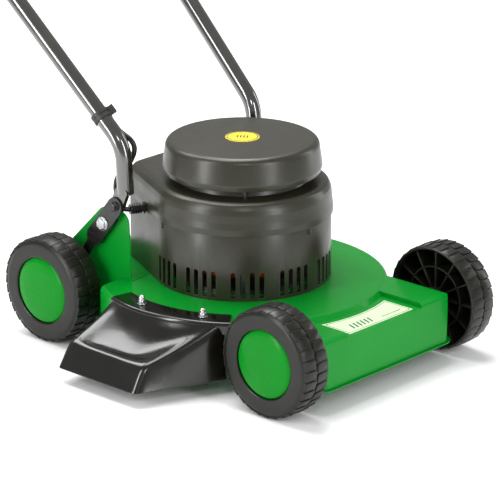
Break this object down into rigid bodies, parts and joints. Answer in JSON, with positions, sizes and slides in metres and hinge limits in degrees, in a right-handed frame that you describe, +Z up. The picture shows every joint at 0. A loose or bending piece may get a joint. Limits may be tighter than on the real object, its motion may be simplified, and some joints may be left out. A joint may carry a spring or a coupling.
{
  "type": "electric rotary lawn mower",
  "caption": "Push lawn mower with a flat steel deck, upright electric motor under a slotted cover, side discharge chute, four wheels and a fold-forward handle.",
  "frame": {"origin": "on the ground, in the middle of the whole footprint, handle and chute included", "axes": "+X to the mower's left as it is pushed, away from the chute; +Y back towards the handle; +Z up"},
  "size_m": [0.541, 1.104, 0.9717],
  "materials": {
    "deck_paint": "gloss green paint over pressed steel",
    "housing_plastic": "moulded, satin",
    "wheel_plastic": "moulded polypropylene, satin",
    "hubcap_plastic": "moulded, satin gloss green",
    "chute_plastic": "moulded, gloss black",
    "tube_paint": "gloss black powder coat",
    "zinc_steel": "bright zinc plate",
    "dark_steel": "black oxide",
    "axle_steel": "drawn rod",
    "blade_steel": "black paint, ground edges",
    "label_film": "printed film",
    "sticker_film": "printed film",
    "motor_aluminium": "die cast",
    "lamination_steel": "stacked sheet",
    "winding_copper": "varnished copper",
    "capacitor_can": "moulded",
    "grip_foam": "closed-cell foam",
    "cable_rubber": "extruded",
    "switch_plastic": "moulded",
    "button_plastic": "moulded red"
  },
  "bodies": {
    "mower": {"deck_shell": "deck_paint", "nameplate": "label_film", "lower_motor_cover": "housing_plastic", "upper_motor_cover": "housing_plastic", "motor_lid": "housing_plastic", "lid_sticker": "sticker_film", "cover_screws": "dark_steel", "case_screws": "dark_steel", "cable_gland": "cable_rubber", "lower_end_bell": "motor_aluminium", "upper_end_bell": "motor_aluminium", "motor_bearings": "axle_steel", "stator_core": "lamination_steel", "stator_windings": "winding_copper", "stator_spacers": "axle_steel", "motor_studs": "zinc_steel", "motor_nuts": "zinc_steel", "capacitor": "capacitor_can", "capacitor_tray": "switch_plastic", "discharge_chute": "chute_plastic", "chute_studs": "zinc_steel", "chute_nuts": "zinc_steel", "axles": "axle_steel", "axle_spacers": "axle_steel", "axle_retainers": "zinc_steel", "bracket_bolts": "zinc_steel", "pivot_bolts": "dark_steel", "bracket_and_pivot_nuts": "zinc_steel", "motor_lead_loop": "cable_rubber", "motor_lead_tail": "cable_rubber", "handle_bracket_right": "dark_steel", "handle_bracket_left": "dark_steel"},
    "blade_rotor": {"motor_shaft": "axle_steel", "rotor_core": "lamination_steel", "cooling_fan": "housing_plastic", "cutting_blade": "blade_steel", "blade_hub": "motor_aluminium", "blade_bolt": "zinc_steel"},
    "handle": {"lower_handle_tube_right": "tube_paint", "lower_handle_tube_left": "tube_paint", "handle_bow": "tube_paint", "handle_joint_sleeves": "axle_steel", "handle_grip": "grip_foam", "switch_housing_front": "switch_plastic", "switch_housing_back": "switch_plastic", "switch_body": "switch_plastic", "power_inlet": "switch_plastic", "bail_bracket": "switch_plastic", "cable_clips": "switch_plastic", "switch_cable": "cable_rubber"},
    "bail": {"bail_lever": "tube_paint"},
    "button": {"safety_button": "button_plastic"},
    "front_right_roller": {"front_right_wheel": "wheel_plastic", "front_right_hubcap": "hubcap_plastic"},
    "front_left_roller": {"front_left_wheel": "wheel_plastic", "front_left_hubcap": "hubcap_plastic"},
    "rear_right_roller": {"rear_right_wheel": "wheel_plastic", "rear_right_hubcap": "hubcap_plastic"},
    "rear_left_roller": {"rear_left_wheel": "wheel_plastic", "rear_left_hubcap": "hubcap_plastic"}
  },
  "joints": [
    {"name": "front_right_roll", "type": "hinge", "parent": "mower", "child": "front_right_roller", "pos_m": [-0.1455, -0.46954, 0.0825], "axis": [1, 0, 0], "continuous": true},
    {"name": "front_left_roll", "type": "hinge", "parent": "mower", "child": "front_left_roller", "pos_m": [0.2325, -0.46954, 0.0825], "axis": [1, 0, 0], "continuous": true},
    {"name": "rear_right_roll", "type": "hinge", "parent": "mower", "child": "rear_right_roller", "pos_m": [-0.1455, -0.00954, 0.0825], "axis": [1, 0, 0], "continuous": true},
    {"name": "rear_left_roll", "type": "hinge", "parent": "mower", "child": "rear_left_roller", "pos_m": [0.2325, -0.00954, 0.0825], "axis": [1, 0, 0], "continuous": true},
    {"name": "blade_spin", "type": "hinge", "parent": "mower", "child": "blade_rotor", "pos_m": [0.0435, -0.23054, 0.06], "axis": [0, 0, 1], "continuous": true},
    {"name": "handle_fold", "type": "hinge", "parent": "mower", "child": "handle", "pos_m": [0.0435, -0.10954, 0.225], "axis": [1, 0, 0], "range_deg": [0, 66], "deforming": ["motor_lead_loop"]},
    {"name": "bail_squeeze", "type": "hinge", "parent": "handle", "child": "bail", "pos_m": [-0.14953, 0.45351, 0.88367], "axis": [-1, 0, 0], "range_deg": [0, 24], "stiffness_Nm_per_rad": 0.6, "springref_deg": -59.99},
    {"name": "button_press", "type": "slide", "parent": "handle", "child": "button", "axis": [0, 0.6794, -0.7337], "range_m": [0, 0.004], "stiffness_N_per_m": 400, "springref_m": -0.004}
  ]
}
